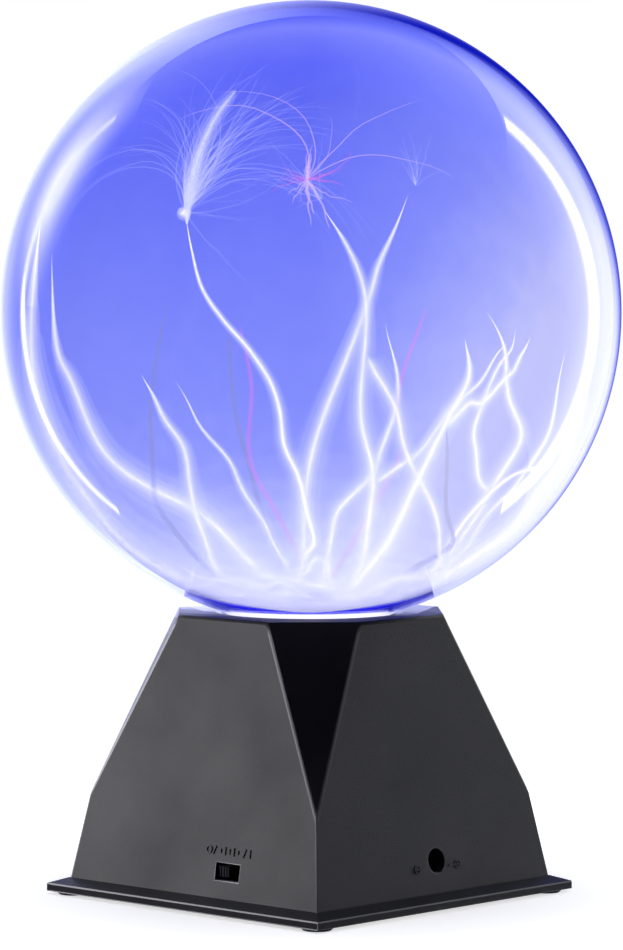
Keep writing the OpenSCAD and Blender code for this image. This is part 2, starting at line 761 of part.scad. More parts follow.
// An electrolytic can with its rolled groove and rubber seal.
module can(at, r, h, points) {
    translate([at.x, at.y, board_z]) rotate_extrude($fn = 40)
        polygon([
            [0, 0.3], [r - 0.4, 0.3], [r, 0.8], [r, 2.2], [r - 0.6, 2.7], [r, 3.2],
            [r, h - 0.5], [r - 0.5, h], [0, h]
        ]);
    leads(points, board_z + 0.4);
}

module filter_capacitor() {
    color([0.1, 0.12, 0.3]) can(filter_at, 6.3, 20, filter_leads);
}

module coupling_capacitor() {
    color([0.1, 0.12, 0.3]) can(coupling_at, 2.5, 7, coupling_leads);
}

module film_capacitor() {
    color([0.75, 0.2, 0.12]) {
        translate([film_at.x - 9, film_at.y - 3.5, board_z + 0.2]) cube([18, 7, 12]);
        leads(film_leads, board_z + 0.4);
    }
}

module driver_chip() {
    color([0.08, 0.08, 0.08]) {
        difference() {
            translate([chip_at.x - 4.9, chip_at.y - 3.2, board_z + 0.5]) cube([9.8, 6.4, 3.3]);
            translate([chip_at.x - 4.9, chip_at.y, board_z + 3]) cylinder(r = 0.9, h = 2, $fn = 24);
        }
        for (p = chip_leads) {
            s = p.y > chip_at.y ? 1 : -1;
            translate([p.x - 0.35, min(p.y, chip_at.y + 3 * s) - 0.12, board_z + 1.9])
                cube([0.7, abs(p.y - chip_at.y) - 3 + 0.24, 0.35]);
            translate([p.x, p.y, board_z0]) cylinder(r = lead_r, h = board_z + 2.2 - board_z0, $fn = 16);
        }
    }
}

// A part lying on the board with a wire from each end.
module axial(at, points, r, length, turn) {
    z = board_z + r + 0.2;
    translate([at.x, at.y, z]) rotate([0, 0, turn]) rotate([0, 90, 0]) {
        translate([0, 0, -length / 2]) cylinder(r = r, h = length, $fn = 32);
        cylinder(r = lead_r * 0.8, h = norm(points[0] - points[1]), center = true, $fn = 16);
    }
    leads(points, z + lead_r * 0.8);
}

module resistors() {
    color([0.78, 0.68, 0.5]) for (i = [0:len(resistor_at) - 1])
        axial(resistor_at[i], [resistor_leads[2 * i], resistor_leads[2 * i + 1]], 1.2, 6.3, 90);
}

module rectifier_diode() {
    color([0.1, 0.1, 0.1]) axial(diode_at, diode_leads, 1.4, 7, 0);
}

// Electret capsule that hears the music in the sound mode.
module microphone() {
    color("silver") {
        difference() {
            translate([mic_at.x, mic_at.y, board_z + 0.3]) cylinder(r = 4.85, h = 6.4);
            translate([mic_at.x, mic_at.y, board_z + 6.4]) cylinder(r = 4.1, h = 2);
            for (i = [0:5])
                rotate_about(mic_at, 60 * i) translate([2, 0, board_z + 5.6]) cylinder(r = 0.4, h = 2, $fn = 16);
        }
        leads(mic_leads, board_z + 0.4);
    }
}

module rotate_about(p, a) {
    translate([p.x, p.y, 0]) rotate([0, 0, a]) children();
}

glass_globe();
stem_glass();
electrode_wool();
electrode_lead();
neck_gasket();
neck_adhesive();
stem_boot();
high_voltage_lead();
upper_housing();
base_tray();
case_screws();
foot(0);  // foot_1
foot(1);  // foot_2
foot(2);  // foot_3
foot(3);  // foot_4
circuit_board();
board_screws();
solder_joints();
switch_frame();
switch_base();
switch_slider();
switch_terminals();
jack_housing();
jack_pin();
jack_terminals();
core_half_lower();
core_half_upper();
core_clip();
transformer_bobbin();
primary_winding();
secondary_winding();
secondary_potting();
heat_sink();
power_transistor();
transistor_pad();
transistor_screw();
filter_capacitor();
coupling_capacitor();
film_capacitor();
driver_chip();
resistors();
rectifier_diode();
microphone();
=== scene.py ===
"""Looks of a plasma ball: blue-tinted glass, glowing gas and its discharges on a faceted black base.

Lengths are in metres, Z is up and the origin is on the table under the middle of the base.
"""

import json
import math

import bmesh
import bpy
import numpy as np
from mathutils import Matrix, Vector


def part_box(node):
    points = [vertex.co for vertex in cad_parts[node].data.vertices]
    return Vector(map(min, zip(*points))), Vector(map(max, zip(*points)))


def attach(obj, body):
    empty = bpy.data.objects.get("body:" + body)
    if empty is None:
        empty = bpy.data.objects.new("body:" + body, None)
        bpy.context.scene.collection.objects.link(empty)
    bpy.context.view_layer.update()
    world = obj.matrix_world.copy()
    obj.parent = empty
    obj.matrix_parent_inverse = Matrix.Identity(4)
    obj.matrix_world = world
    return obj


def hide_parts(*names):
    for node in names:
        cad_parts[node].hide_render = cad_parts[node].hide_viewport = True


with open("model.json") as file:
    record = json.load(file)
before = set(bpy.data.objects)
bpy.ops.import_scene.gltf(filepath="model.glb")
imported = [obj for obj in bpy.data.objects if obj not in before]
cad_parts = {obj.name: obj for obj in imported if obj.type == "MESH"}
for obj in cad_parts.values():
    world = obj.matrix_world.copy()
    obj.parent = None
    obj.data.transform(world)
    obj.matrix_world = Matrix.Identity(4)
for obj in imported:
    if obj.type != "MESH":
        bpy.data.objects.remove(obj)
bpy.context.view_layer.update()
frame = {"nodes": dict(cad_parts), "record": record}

MM = 0.001
TAU = 2 * math.pi
BODY = "base"                        # everything but the switch's knob rides on this body

# ---- Places worked out from the frame ----

globe_low, globe_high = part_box("glass_globe")
housing_low, housing_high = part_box("upper_housing")
stem_low, stem_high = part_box("stem_glass")

GLOBE_R = (globe_high.x - globe_low.x) / 2
GLOBE_Z = globe_high.z - GLOBE_R     # height of the ball's centre
BALL_CENTRE = np.array([0, 0, GLOBE_Z])
GLASS_WALL = 2 * MM
GAS_R = GLOBE_R - GLASS_WALL - 0.5 * MM
NECK_R = (stem_high.x - stem_low.x) / 2
NECK_END = 76 * MM                   # where the neck is fused to the stem's flange
NECK_FILLET = 3 * MM
CROWN_Z = stem_high.z                # crown of the electrode's head
TOP_Z = housing_high.z               # flat top of the housing

# ---- Camera: looks at the corner between the switch's face and the inlet's ----

VIEW_AZIMUTH = math.radians(43.32)
VIEW_DISTANCE = 1.4571
VIEW_HEIGHT = 0.2195
AIM_HEIGHT = 0.1376
LENS_MM = 169
SENSOR_MM = 36
SHIFT_X = 0.0018


def around(azimuth, radius, height):
    """The point at this azimuth, counted from -Y towards +X, this far from the axis and this high."""
    return Vector((radius * math.sin(azimuth), -radius * math.cos(azimuth), height))


def make_camera():
    """A long lens a good arm's length away, a little above the middle of the globe."""
    data = bpy.data.cameras.new("camera")
    data.lens = LENS_MM
    data.sensor_width = SENSOR_MM
    data.shift_x = SHIFT_X
    data.clip_start = 0.05
    data.clip_end = 50
    camera = bpy.data.objects.new("camera", data)
    camera.location = around(VIEW_AZIMUTH, VIEW_DISTANCE, VIEW_HEIGHT)
    aim = Vector((0, 0, AIM_HEIGHT)) - camera.location
    camera.rotation_euler = aim.to_track_quat("-Z", "Y").to_euler()
    bpy.context.scene.collection.objects.link(camera)
    bpy.context.scene.camera = camera


make_camera()

# ---- Small tools for shapes ----


def mesh_object(name, vertices, faces, material, body=BODY):
    """A new smooth piece from a vertex array and a list or array of faces, riding on a body."""
    mesh = bpy.data.meshes.new(name)
    mesh.from_pydata(np.asarray(vertices, float).tolist(), [], [list(map(int, f)) for f in faces])
    mesh.polygons.foreach_set("use_smooth", np.ones(len(mesh.polygons), bool))
    mesh.materials.append(material)
    mesh.update()
    piece = bpy.data.objects.new(name, mesh)
    bpy.context.scene.collection.objects.link(piece)
    if body:
        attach(piece, body)
    return piece


def grid_faces(rows, columns):
    """Quads between neighbouring rings of a grid whose columns close into a ring."""
    i, j = np.meshgrid(np.arange(rows - 1), np.arange(columns), indexing="ij")
    right = (j + 1) % columns
    quads = (i * columns + j, i * columns + right, (i + 1) * columns + right, (i + 1) * columns + j)
    return np.stack(quads, -1).reshape(-1, 4)


def tube_faces(rows, columns):
    """Faces of a tube of rings that closes to one vertex at each end; those two come after the rings."""
    ring = np.arange(columns)
    turned = (ring + 1) % columns
    last = (rows - 1) * columns
    tip = rows * columns
    first_end = np.stack([turned, ring, np.full(columns, tip)], -1)
    last_end = np.stack([last + ring, last + turned, np.full(columns, tip + 1)], -1)
    return grid_faces(rows, columns).tolist() + first_end.tolist() + last_end.tolist()


def rings_about_z(profile, segments):
    """A ring of points (r cos a, r sin a, z) for each (r, z) of a profile."""
    r, z = np.asarray(profile, float).T
    a = np.arange(segments) * TAU / segments
    return np.stack([np.outer(r, np.cos(a)), np.outer(r, np.sin(a)), np.repeat(z[:, None], segments, 1)], -1)


def revolve(profile, segments):
    """A closed skin from (radius, height) points turned about Z, whose first and last lie on the axis."""
    rings = rings_about_z(profile, segments)
    vertices = np.vstack([rings[1:-1].reshape(-1, 3), rings[[0, -1], 0] * [0, 0, 1]])
    return vertices, tube_faces(len(rings) - 2, segments)


def arc(centre, rx, rz, start, end, steps):
    """Points of an ellipse's arc: centre + (rx cos t, rz sin t), t in degrees from start to end."""
    t = np.radians(np.linspace(start, end, steps + 1))
    return np.stack([centre[0] + rx * np.cos(t), centre[1] + rz * np.sin(t)], -1)


def unit(v):
    """Each row of v divided by its length."""
    return v / np.linalg.norm(v, axis=-1, keepdims=True)


def curve_through(points, steps):
    """A Catmull-Rom curve: between b and c it blends a, b, c, d by the usual cubic in t."""
    p = np.asarray(points, float)
    p = np.vstack([2 * p[0] - p[1], p, 2 * p[-1] - p[-2]])
    t = np.linspace(0, 1, steps, endpoint=False)[:, None, None]
    a, b, c, d = p[:-3], p[1:-2], p[2:-1], p[3:]
    curve = 2 * b + (c - a) * t + (2 * a - 5 * b + 4 * c - d) * t**2 + (3 * b - a - 3 * c + d) * t**3
    rows = 0.5 * curve.transpose(1, 0, 2).reshape(-1, p.shape[1])
    return np.vstack([rows, p[-2]])


AXES = unit(np.array([
    [1, 0, 0], [0, 1, 0], [0, 0, 1], [1, 1, 0], [1, -1, 0], [1, 0, 1], [0, 1, 1], [1, 1, 1.0]
]))


def sweep(path, radii, sides):
    """A round tube along path: each ring is path + r (u cos a + v sin a), u and v square to the path.

    u comes from the axis that the path comes least close to, so the rings never flip.
    """
    path = np.asarray(path, float)
    along = unit(np.gradient(path, axis=0))
    axis = AXES[np.abs(along @ AXES.T).max(0).argmin()]
    u = unit(np.cross(along, axis))
    v = np.cross(along, u)
    a = np.arange(sides) * TAU / sides
    turn = u[:, None] * np.cos(a)[None, :, None] + v[:, None] * np.sin(a)[None, :, None]
    rings = path[:, None] + np.asarray(radii)[:, None, None] * turn
    return np.vstack([rings.reshape(-1, 3), path[[0, -1]]]), tube_faces(len(path), sides)


def joined(parts):
    """One vertex array and face list from many."""
    vertices, faces, offset = [], [], 0
    for part_vertices, part_faces in parts:
        vertices.append(part_vertices)
        faces += [[i + offset for i in face] for face in part_faces]
        offset += len(part_vertices)
    return np.vstack(vertices), faces


# ---- Small tools for materials ----


def linear(hex_colour):
    """An sRGB hex value as linear RGBA."""
    c = np.array([int(hex_colour[i : i + 2], 16) for i in (1, 3, 5)]) / 255
    c = np.where(c <= 0.04045, c / 12.92, ((c + 0.055) / 1.055) ** 2.4)
    return (*c.tolist(), 1.0)


def add(material, kind, links=None, **settings):
    """Adds a node. Settings name its sockets or properties, and links map its sockets to other outputs."""
    node = material.node_tree.nodes.new(kind)
    for name, value in settings.items():
        if name in {s.name.replace(" ", "_") for s in node.inputs}:
            node.inputs[name.replace("_", " ")].default_value = value
        else:
            setattr(node, name, value)
    for name, output in (links or {}).items():
        material.node_tree.links.new(output, node.inputs[name])
    return node


def surface(name, **settings):
    """A material with one Principled shader; settings are its sockets, with _ for spaces."""
    material = bpy.data.materials.new(name)
    material.use_nodes = True
    shader = material.node_tree.nodes["Principled BSDF"]
    for socket, value in settings.items():
        shader.inputs[socket.replace("_", " ")].default_value = value
    return material, shader


def connect(material, output, socket):
    """Links a node's output to a socket."""
    material.node_tree.links.new(output, socket)


def place(material):
    """Object coordinates, which lie still on every piece because its object stays at the origin."""
    return add(material, "ShaderNodeTexCoord").outputs["Object"]


def noise(material, size, detail=2.0, where=None):
    """Cloudy noise whose blobs are about this size across."""
    where = where or place(material)
    return add(material, "ShaderNodeTexNoise", {"Vector": where}, Scale=1 / size, Detail=detail)


def ramp(material, factor, *stops):
    """Colours that follow a factor; stops are (position, sRGB hex)."""
    node = add(material, "ShaderNodeValToRGB", {"Fac": factor})
    elements = node.color_ramp.elements
    elements[0].position, elements[0].color = stops[0][0], linear(stops[0][1])
    elements[1].position, elements[1].color = stops[-1][0], linear(stops[-1][1])
    for position, colour in stops[1:-1]:
        elements.new(position).color = linear(colour)
    return node


def tinted(material, shader, factor, *stops):
    """Gives a shader's base colour the colours of a ramp."""
    connect(material, ramp(material, factor, *stops).outputs["Color"], shader.inputs["Base Color"])


def grey(value):
    """A grey as RGBA."""
    return (value, value, value, 1.0)


def bump(material, shader, height, depth, strength=1.0):
    """Turns a height of 0 to 1 into relief of this depth."""
    node = add(material, "ShaderNodeBump", {"Height": height}, Distance=depth, Strength=strength)
    connect(material, node.outputs["Normal"], shader.inputs["Normal"])


def between(material, factor, low, high):
    """Maps a factor of 0 to 1 onto low to high."""
    return add(material, "ShaderNodeMapRange", {"Value": factor}, To_Min=low, To_Max=high).outputs["Result"]


def moulded(name, dark, light, grain, depth, rough, **settings):
    """Moulded plastic: fine texture from the tool, faint cloudiness in the colour and in the gloss."""
    material, shader = surface(name, **settings)
    clouds = noise(material, 60 * grain).outputs["Fac"]
    tinted(material, shader, clouds, (0.35, dark), (0.65, light))
    connect(material, between(material, clouds, *rough), shader.inputs["Roughness"])
    bump(material, shader, noise(material, grain, 3.0).outputs["Fac"], depth)
    return material


def metal(name, dark, light, rough, grain, depth, stretch):
    """Bare metal: marks from rolling or plating, drawn out along one way by stretch."""
    material, shader = surface(name, Metallic=1.0)
    spread = add(material, "ShaderNodeMapping", {"Vector": place(material)}, Scale=stretch)
    marks = noise(material, grain, 3.0, spread.outputs["Vector"]).outputs["Fac"]
    tinted(material, shader, marks, (0.3, dark), (0.7, light))
    connect(material, between(material, marks, rough - 0.06, rough + 0.1), shader.inputs["Roughness"])
    bump(material, shader, marks, depth)
    return material


def glow(name, tint, strength, alpha):
    """Glow as a thin see-through skin, for the gas and for painted glow on the glass: it covers alpha of what
    is behind it.
    """
    material, _ = surface(
        name,
        Base_Color=grey(0.0),
        Specular_IOR_Level=0.0,
        Roughness=1.0,
        Emission_Color=linear(tint),
        Emission_Strength=strength,
        Alpha=alpha,
    )
    return material


# ---- Glass ----


def globe_glass():
    """Blown soda-lime glass tinted blue: clear to look through, deep blue where the wall is seen edge on."""
    material, _ = surface(
        "blown blue-tinted soda-lime glass",
        Base_Color=linear("#FFFFFF"),
        Roughness=0.0,
        IOR=1.5,
        Transmission_Weight=1.0,
    )
    absorb = add(material, "ShaderNodeVolumeAbsorption", Color=linear("#2A3CFF"), Density=60.0)
    output = material.node_tree.nodes["Material Output"]
    connect(material, absorb.outputs["Volume"], output.inputs["Volume"])
    return material


def globe_profile(inset):
    """Half outline of the ball and its neck, moved inwards: neck, hollow fillet, then ball to crown."""
    radius, neck, fillet = GLOBE_R - inset, NECK_R - inset, NECK_FILLET + inset
    fillet_x = neck + fillet
    fillet_z = GLOBE_Z - math.sqrt((radius + fillet) ** 2 - fillet_x**2)
    turn = math.degrees(math.atan2(GLOBE_Z - fillet_z, -fillet_x))
    return np.vstack([
        np.stack([np.full(4, neck), np.linspace(NECK_END, fillet_z, 4, endpoint=False)], -1),
        arc((fillet_x, fillet_z), fillet, fillet, 180, turn, 12),
        arc((0, GLOBE_Z), radius, radius, turn - 180, 90, 110)[1:],
    ])


def make_globe():
    """The blown globe: outer and inner skins joined at the neck's cut end."""
    outer, inner = globe_profile(0), globe_profile(GLASS_WALL)
    profile = np.vstack([[[0, inner[-1][1]]], inner[-2::-1], outer[:-1], [[0, outer[-1][1]]]])
    globe = mesh_object("blown_globe", *revolve(profile, 192), globe_glass())
    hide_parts("glass_globe")


# ---- Gas and discharges ----


def gas_material():
    """Glowing noble gas: violet-blue, deeper towards the crown and paler towards the electrode, with a
    painted reflection that makes it paler towards the camera's right.
    """
    material, shader = surface(
        "glowing neon and argon gas",
        Base_Color=grey(0.0),
        Specular_IOR_Level=0.0,
        Roughness=1.0,
        Emission_Strength=1.15,
        Alpha=0.6,
    )
    height = add(material, "ShaderNodeSeparateXYZ", {"Vector": place(material)}).outputs["Z"]
    rise = add(
        material,
        "ShaderNodeMapRange",
        {"Value": height},
        From_Min=GLOBE_Z - GLOBE_R,
        From_Max=GLOBE_Z + GLOBE_R,
    )
    level = rise.outputs["Result"]
    drift = noise(material, 70 * MM, 2.0).outputs["Fac"]
    wisps = noise(material, 8 * MM, 6.0).outputs["Fac"]
    aside = add(material, "ShaderNodeVectorMath", {0: place(material)}, operation="DOT_PRODUCT")
    aside.inputs[1].default_value = Vector(front(1, 0, 0)) / GLOBE_R
    # What each of these adds to the level where it is 0 and where it is 1; the last makes the right paler, a
    # painted reflection of the soft light on that side
    for factor, low, high in ((drift, -0.1, 0.1), (wisps, -0.07, 0.07), (aside.outputs["Value"], 0.02, -0.7)):
        change = between(material, factor, low, high)
        level = add(material, "ShaderNodeMath", {0: level, 1: change}).outputs["Value"]
    stops = (0.0, "#DADCFF"), (0.12, "#BCC2FE"), (0.38, "#909BFC"), (0.66, "#7A86FA"), (0.98, "#5E69F3")
    connect(material, ramp(material, level, *stops).outputs["Color"], shader.inputs["Emission Color"])
    return material


def make_gas():
    """The gas that fills the ball, as one skin just inside the glass."""
    bottom = -math.degrees(math.acos((NECK_R - 4 * MM) / GAS_R))
    wall = arc((0, GLOBE_Z), GAS_R, GAS_R, bottom, 90, 90)
    profile = np.vstack([[[0, wall[0][1]]], wall[:-1], [[0, GLOBE_Z + GAS_R]]])
    mesh_object("gas_filling", *revolve(profile, 128), gas_material())


def front(side, height, toward):
    """A point seen from the front corner, in mm: right of the axis, up from the table, towards the eye."""
    s, c = math.sin(VIEW_AZIMUTH), math.cos(VIEW_AZIMUTH)
    return (side * c + toward * s, side * s - toward * c, height)


# Each discharge: its width, whether it is sharp, and points from the electrode to the glass as
# (side, height, toward), in mm
STRANDS = [
    (1.0, True, [(-3, 101, 4), (-2, 110, 8), (1, 116, 10), (-1, 126, 14), (-3, 138, 20), (-8, 149, 26),
                 (-10, 160, 33), (-13, 170, 40), (-19, 180, 50), (-27, 190, 64), (-33, 200, 74),
                 (-36, 212, 80), (-38, 223, 84)]),
    (1.0, False, [(-3, 100, 2), (-2, 110, 2), (0, 130, 2), (8, 160, -10), (19, 195, -40), (24, 210, -58),
                  (34, 230, -74)]),
    (0.9, False, [(14, 98, 3), (18, 116, 6), (20, 136, 8), (16, 156, 8), (19, 184, 0), (19, 198, -16),
                  (12, 214, -50), (4, 226, -84)]),
    (1.1, False, [(12, 98, 6), (18, 108, 14), (30, 126, 26), (43, 156, 44), (49, 172, 58),
                  (48, 184, 70)]),
    (0.55, False, [(43, 156, 44), (54, 163, 30), (66, 173, 10), (74, 182, -30)]),
    (0.9, False, [(24, 97, 0), (39, 104, -4), (46, 112, -8), (60, 130, -14), (70, 146, -18),
                  (68, 162, -24), (66, 176, -34), (60, 190, -52)]),
    (0.5, False, [(60, 130, -14), (54, 142, -14), (56, 154, -22), (66, 172, -40), (70, 184, -50)]),
    (0.75, True, [(20, 98, 6), (38, 107, 12), (42, 112, 16), (50, 124, 26), (58, 134, 32), (67, 140, 38),
                  (77, 144, 42), (84, 153, 42)]),
    (1.2, False, [(24, 97, 10), (50, 108, 10), (68, 124, 8), (82, 142, 4), (90, 164, 2), (93, 186, 0)]),
    (1.3, False, [(-10, 98, 2), (-18, 108, 8), (-32, 122, 16), (-50, 134, 24), (-66, 148, 30),
                  (-77, 168, 30), (-81, 182, 30), (-82, 210, 30)]),
    (2.0, False, [(-20, 97, 2), (-44, 104, 2), (-65, 119, 0), (-81, 142, 0), (-89, 166, 0), (-91, 190, 0),
                  (-88, 220, 0)]),
    (1.4, False, [(-24, 97, -6), (-48, 106, -6), (-71, 125, -6), (-86, 150, -6), (-94, 180, -6),
                  (-94, 204, -6)]),
    (0.8, False, [(-14, 98, 6), (-28, 106, 20), (-34, 122, 34), (-39, 145, 52), (-46, 162, 66),
                  (-52, 173, 70)]),
    (0.6, False, [(-6, 98, 6), (-14, 103, 22), (-28, 106, 34), (-42, 112, 38)]),
    (0.6, False, [(19, 176, 2), (30, 154, 16), (37, 130, 26), (42, 116, 30), (44, 104, 20)]),
    (0.45, False, [(22, 136, 8), (34, 146, 20), (52, 168, 40), (62, 182, 50)]),
    (0.5, False, [(-4, 100, -6), (-12, 112, -20), (-28, 140, -46), (-46, 166, -62)]),
    (0.9, False, [(-8, 98, 10), (-6, 106, 14), (0, 111, 16), (6, 107, 16), (9, 98, 12)]),
    (0.9, False, [(-24, 99, 12), (-16, 105, 20), (-6, 107, 22), (2, 103, 20), (8, 98, 12)]),
    (0.7, False, [(-40, 103, 16), (-26, 105, 26), (-12, 105, 28), (2, 99, 20)]),
    (0.9, False, [(8, 98, 12), (24, 103, 20), (40, 106, 20), (54, 113, 14)]),
    (0.7, False, [(4, 98, -4), (8, 120, -10), (22, 140, -20), (29, 160, -40), (26, 186, -66)]),
    (0.6, False, [(30, 98, -8), (50, 108, -20), (66, 128, -34), (80, 150, -36), (86, 178, -30)]),
]
FADED = [
    [(-9, 99, 2), (-30, 106, 12), (-46, 124, 22), (-50, 142, 30), (-50, 170, 40), (-44, 196, 56)],
    [(-9, 99, -8), (-12, 112, -24), (-20, 140, -40), (-28, 172, -60), (-26, 188, -70)],
    [(24, 98, 6), (36, 110, 22), (44, 124, 34), (43, 156, 50)],
]
RED = [
    [(2, 100, -6), (-10, 122, -20), (-20, 140, -38), (-20, 164, -50), (-24, 186, -62)],
    [(6, 100, -4), (28, 140, -22), (31, 156, -36), (32, 172, -50), (40, 192, -60)],
]
# Shells of glow round every discharge: radius in mm for a width of 1, when soft and when sharp, share of the
# discharge's length, how much it covers, strength and tint
SHELLS = [
    ("core", 0.16, 0.42, 1.0, 0.8, 4.0, "#FFF4F6"),
    ("sheath", 0.6, 0.6, 1.0, 0.3, 3.5, "#F1EEFF"),
    ("halo", 1.3, 1.0, 1.0, 0.24, 3.1, "#E2E0FF"),
    ("glow", 2.4, 1.6, 0.97, 0.2, 2.8, "#D6D6FF"),
    ("haze", 4.0, 2.4, 0.93, 0.14, 2.6, "#CCCEFF"),
    ("mist", 6.6, 3.6, 0.86, 0.09, 2.4, "#C6CAFF"),
    ("veil", 10.0, 5.5, 0.7, 0.05, 2.2, "#C0C6FF"),
]


def wander(path, rng, reach):
    """Adds a smooth random wander that fades out at both ends: a few sine waves on each axis."""
    s = np.linspace(0, 1, len(path))[:, None, None]
    waves = np.arange(2, 9)
    phase = rng.uniform(0, TAU, (3, len(waves)))
    size = rng.normal(0, 1, (3, len(waves))) / waves
    drift = (size * np.sin(math.pi * waves * s + phase)).sum(-1)
    return path + reach * drift * np.sin(math.pi * s[:, :, 0]) ** 0.6


def keep_inside(path, gap=1.2 * MM):
    """Pulls a path back inside the gas where it would pass through the glass."""
    out = path - BALL_CENTRE
    far = np.linalg.norm(out, axis=1, keepdims=True)
    return BALL_CENTRE + out * np.minimum(1, (GAS_R - gap) / far)


def strand_path(points, rng, reach):
    """One discharge's path, in metres, from its listed points."""
    world = np.array([front(*p) for p in points]) * MM
    return keep_inside(wander(curve_through(world, 10), rng, reach))


def tapered(count, radius, tip=0.25):
    """Radii that shrink from the electrode to tip times their size, by the power 1.3 of the way gone.

    The first 3% and the last 8% of the way close almost to a point.
    """
    s = np.linspace(0, 1, count)
    shrink = 1 - (1 - tip) * s**1.3
    close = np.minimum(1, np.minimum((s + 0.004) / 0.03, (1.004 - s) / 0.08))
    return radius * shrink * close


def creep(start, heading, length, bend, steps=14):
    """A path that creeps over the inside of the glass from a point: a great circle that curls by bend."""
    out = unit(np.asarray(start) - BALL_CENTRE)
    ahead = unit(heading - out * (heading @ out))
    aside = np.cross(out, ahead)
    s = np.linspace(0, 1, steps)[:, None] * length / GAS_R
    turn = s * bend
    way = ahead * np.cos(turn) + aside * np.sin(turn)
    return BALL_CENTRE + (GAS_R - 1.5 * MM) * unit(out * np.cos(s) + way * np.sin(s))


def fan(rng, start, up, spread, count, length, thick):
    """Fine fibres that leave one point on the glass in a brush about one heading; sizes in mm."""
    start = np.array(front(*start)) * MM
    heading = np.array(front(*up)) - np.array(front(0, 0, 0))
    out = unit(start - BALL_CENTRE)
    ahead = unit(heading - out * (heading @ out))
    aside = np.cross(out, ahead)
    fibres = []
    for angle in rng.normal(0, spread, count):
        reach = length * rng.uniform(0.25, 1) * MM
        way = ahead * math.cos(angle) + aside * math.sin(angle)
        path = creep(start, way, reach, rng.normal(0, 1.4))
        path = wander(path, rng, 0.6 * MM)
        fibres.append(sweep(path, tapered(len(path), thick * rng.uniform(0.5, 1.4) * MM), 5))
    return fibres


def star(rng, start, rays):
    """Several fans from one point; each ray is a heading, spread, number of fibres, length and thickness."""
    return [fibre for ray in rays for fibre in fan(rng, start, *ray)]


def make_shells(rng):
    """The discharges as skins of glow inside one another: a thin core, then wider and fainter sheaths."""
    paths = [strand_path(points, rng, (1.0 if sharp else 2.0) * MM) for _, sharp, points in STRANDS]
    for shell, soft_r, sharp_r, reach, alpha, strength, tint in SHELLS:
        tubes = []
        for (width, sharp, _), path in zip(STRANDS, paths):
            kept = path[: max(4, int(len(path) * reach))]
            radius = (sharp_r if sharp else soft_r) * width * MM
            tubes.append(sweep(kept, tapered(len(kept), radius), 10))
        look = glow(f"{shell} of the discharge", tint, strength, alpha)
        mesh_object(f"discharge_{shell}", *joined(tubes), look)


def make_trails(rng, name, strands, radius, tip, look):
    """Discharges that are only faint trails: one plain tube along each."""
    paths = [strand_path(points, rng, 1.5 * MM) for points in strands]
    mesh_object(name, *joined([sweep(p, tapered(len(p), radius, tip), 8) for p in paths]), look)


def make_brush():
    """The glow along the brush, where the sharp discharge spreads up over the glass, and at its foot."""
    stroke = ((-38, 220, 84), (-38, 232, 82), (-36, 242, 78), (-31, 254, 71), (-24, 264, 64))
    path = keep_inside(curve_through(np.array([front(*p) for p in stroke]) * MM, 10), 3.5 * MM)
    s = np.linspace(0, 1, len(path))
    sizes = ((0.4, 0.3), (0.8, 0.22), (1.4, 0.16), (2.2, 0.11), (3.3, 0.07), (4.8, 0.05))
    for i, (radius, alpha) in enumerate(sizes):
        # It swells at once from the foot and narrows slowly to the tip, the wider skins more bluntly
        swell = (s + 0.02) ** (0.25 + 0.1 * i) * (1.001 - s) ** (0.9 - 0.08 * i)
        tube = sweep(path, 1.5 * radius * MM * swell, 12)
        look = glow(f"glow of the brush {i + 1}", "#DDDFFF", 2.8, alpha)
        mesh_object(f"brush_glow_{i + 1}", *tube, look)
    spot = np.array(front(-38.4, 222.6, 83.4)) * MM
    for i, (radius, alpha) in enumerate(((0.7, 0.35), (1.3, 0.2), (2.2, 0.1))):
        vertices, faces = revolve(arc((0, 0), radius * MM, radius * MM, -90, 90, 12), 24)
        look = glow(f"foot of the discharge {i + 1}", "#EFEEFF", 3.2, alpha)
        mesh_object(f"foot_spot_{i + 1}", vertices + spot, faces, look)


def make_discharges():
    """Every discharge, from one run of random draws, so the order of these calls is part of the look."""
    rng = np.random.default_rng(7)
    make_shells(rng)
    grey_trail = glow("discharge that is dying away", "#9A9A96", 0.9, 0.42)
    make_trails(rng, "fading_discharges", FADED, 1.0 * MM, 0.5, grey_trail)
    make_trails(rng, "red_discharges", RED, 0.9 * MM, 0.6, glow("neon-red discharge", "#D85AC0", 1.6, 0.4))
    fibres = star(rng, (-38, 223, 84), [((0.14, 1, 0), 0.26, 120, 64, 0.2), ((0.4, 1, 0), 0.7, 16, 40, 0.14)])
    fibres += fan(rng, (34, 230, -74), (0.3, 1, 0), 0.4, 12, 34, 0.2)
    fibres += fan(rng, (4, 226, -84), (-0.6, 1, 0), 0.4, 10, 34, 0.2)
    look = glow("fibres that creep over the glass", "#DCDEFF", 2.4, 0.11)
    mesh_object("glass_brush", *joined(fibres), look)
    make_brush()
    eye = (-1, 236, -88)
    rose = star(rng, eye, [
        ((0, 1, 0), 0.25, 6, 16, 0.45),
        ((0.4, -1, 0), 0.3, 5, 22, 0.45),
        ((0.5, 1, 0), 0.3, 5, 60, 0.25),
        ((-0.8, -1, 0), 0.3, 3, 20, 0.3),
    ])
    mesh_object("rose_star", *joined(rose), glow("rose fibres on the glass", "#EBC2F2", 2.4, 0.3))
    red = star(rng, eye, [((1, 0.15, 0), 0.2, 8, 22, 0.24), ((-1, 0, 0), 0.2, 8, 18, 0.24)])
    mesh_object("red_star", *joined(red), glow("neon-red fibres on the glass", "#F05AA0", 1.8, 0.3))


NECK_TOP_R = 31 * MM                 # where the ball's wall leaves the hollow fillet of its neck
BAND_ROWS, BAND_SIDES = 17, 128


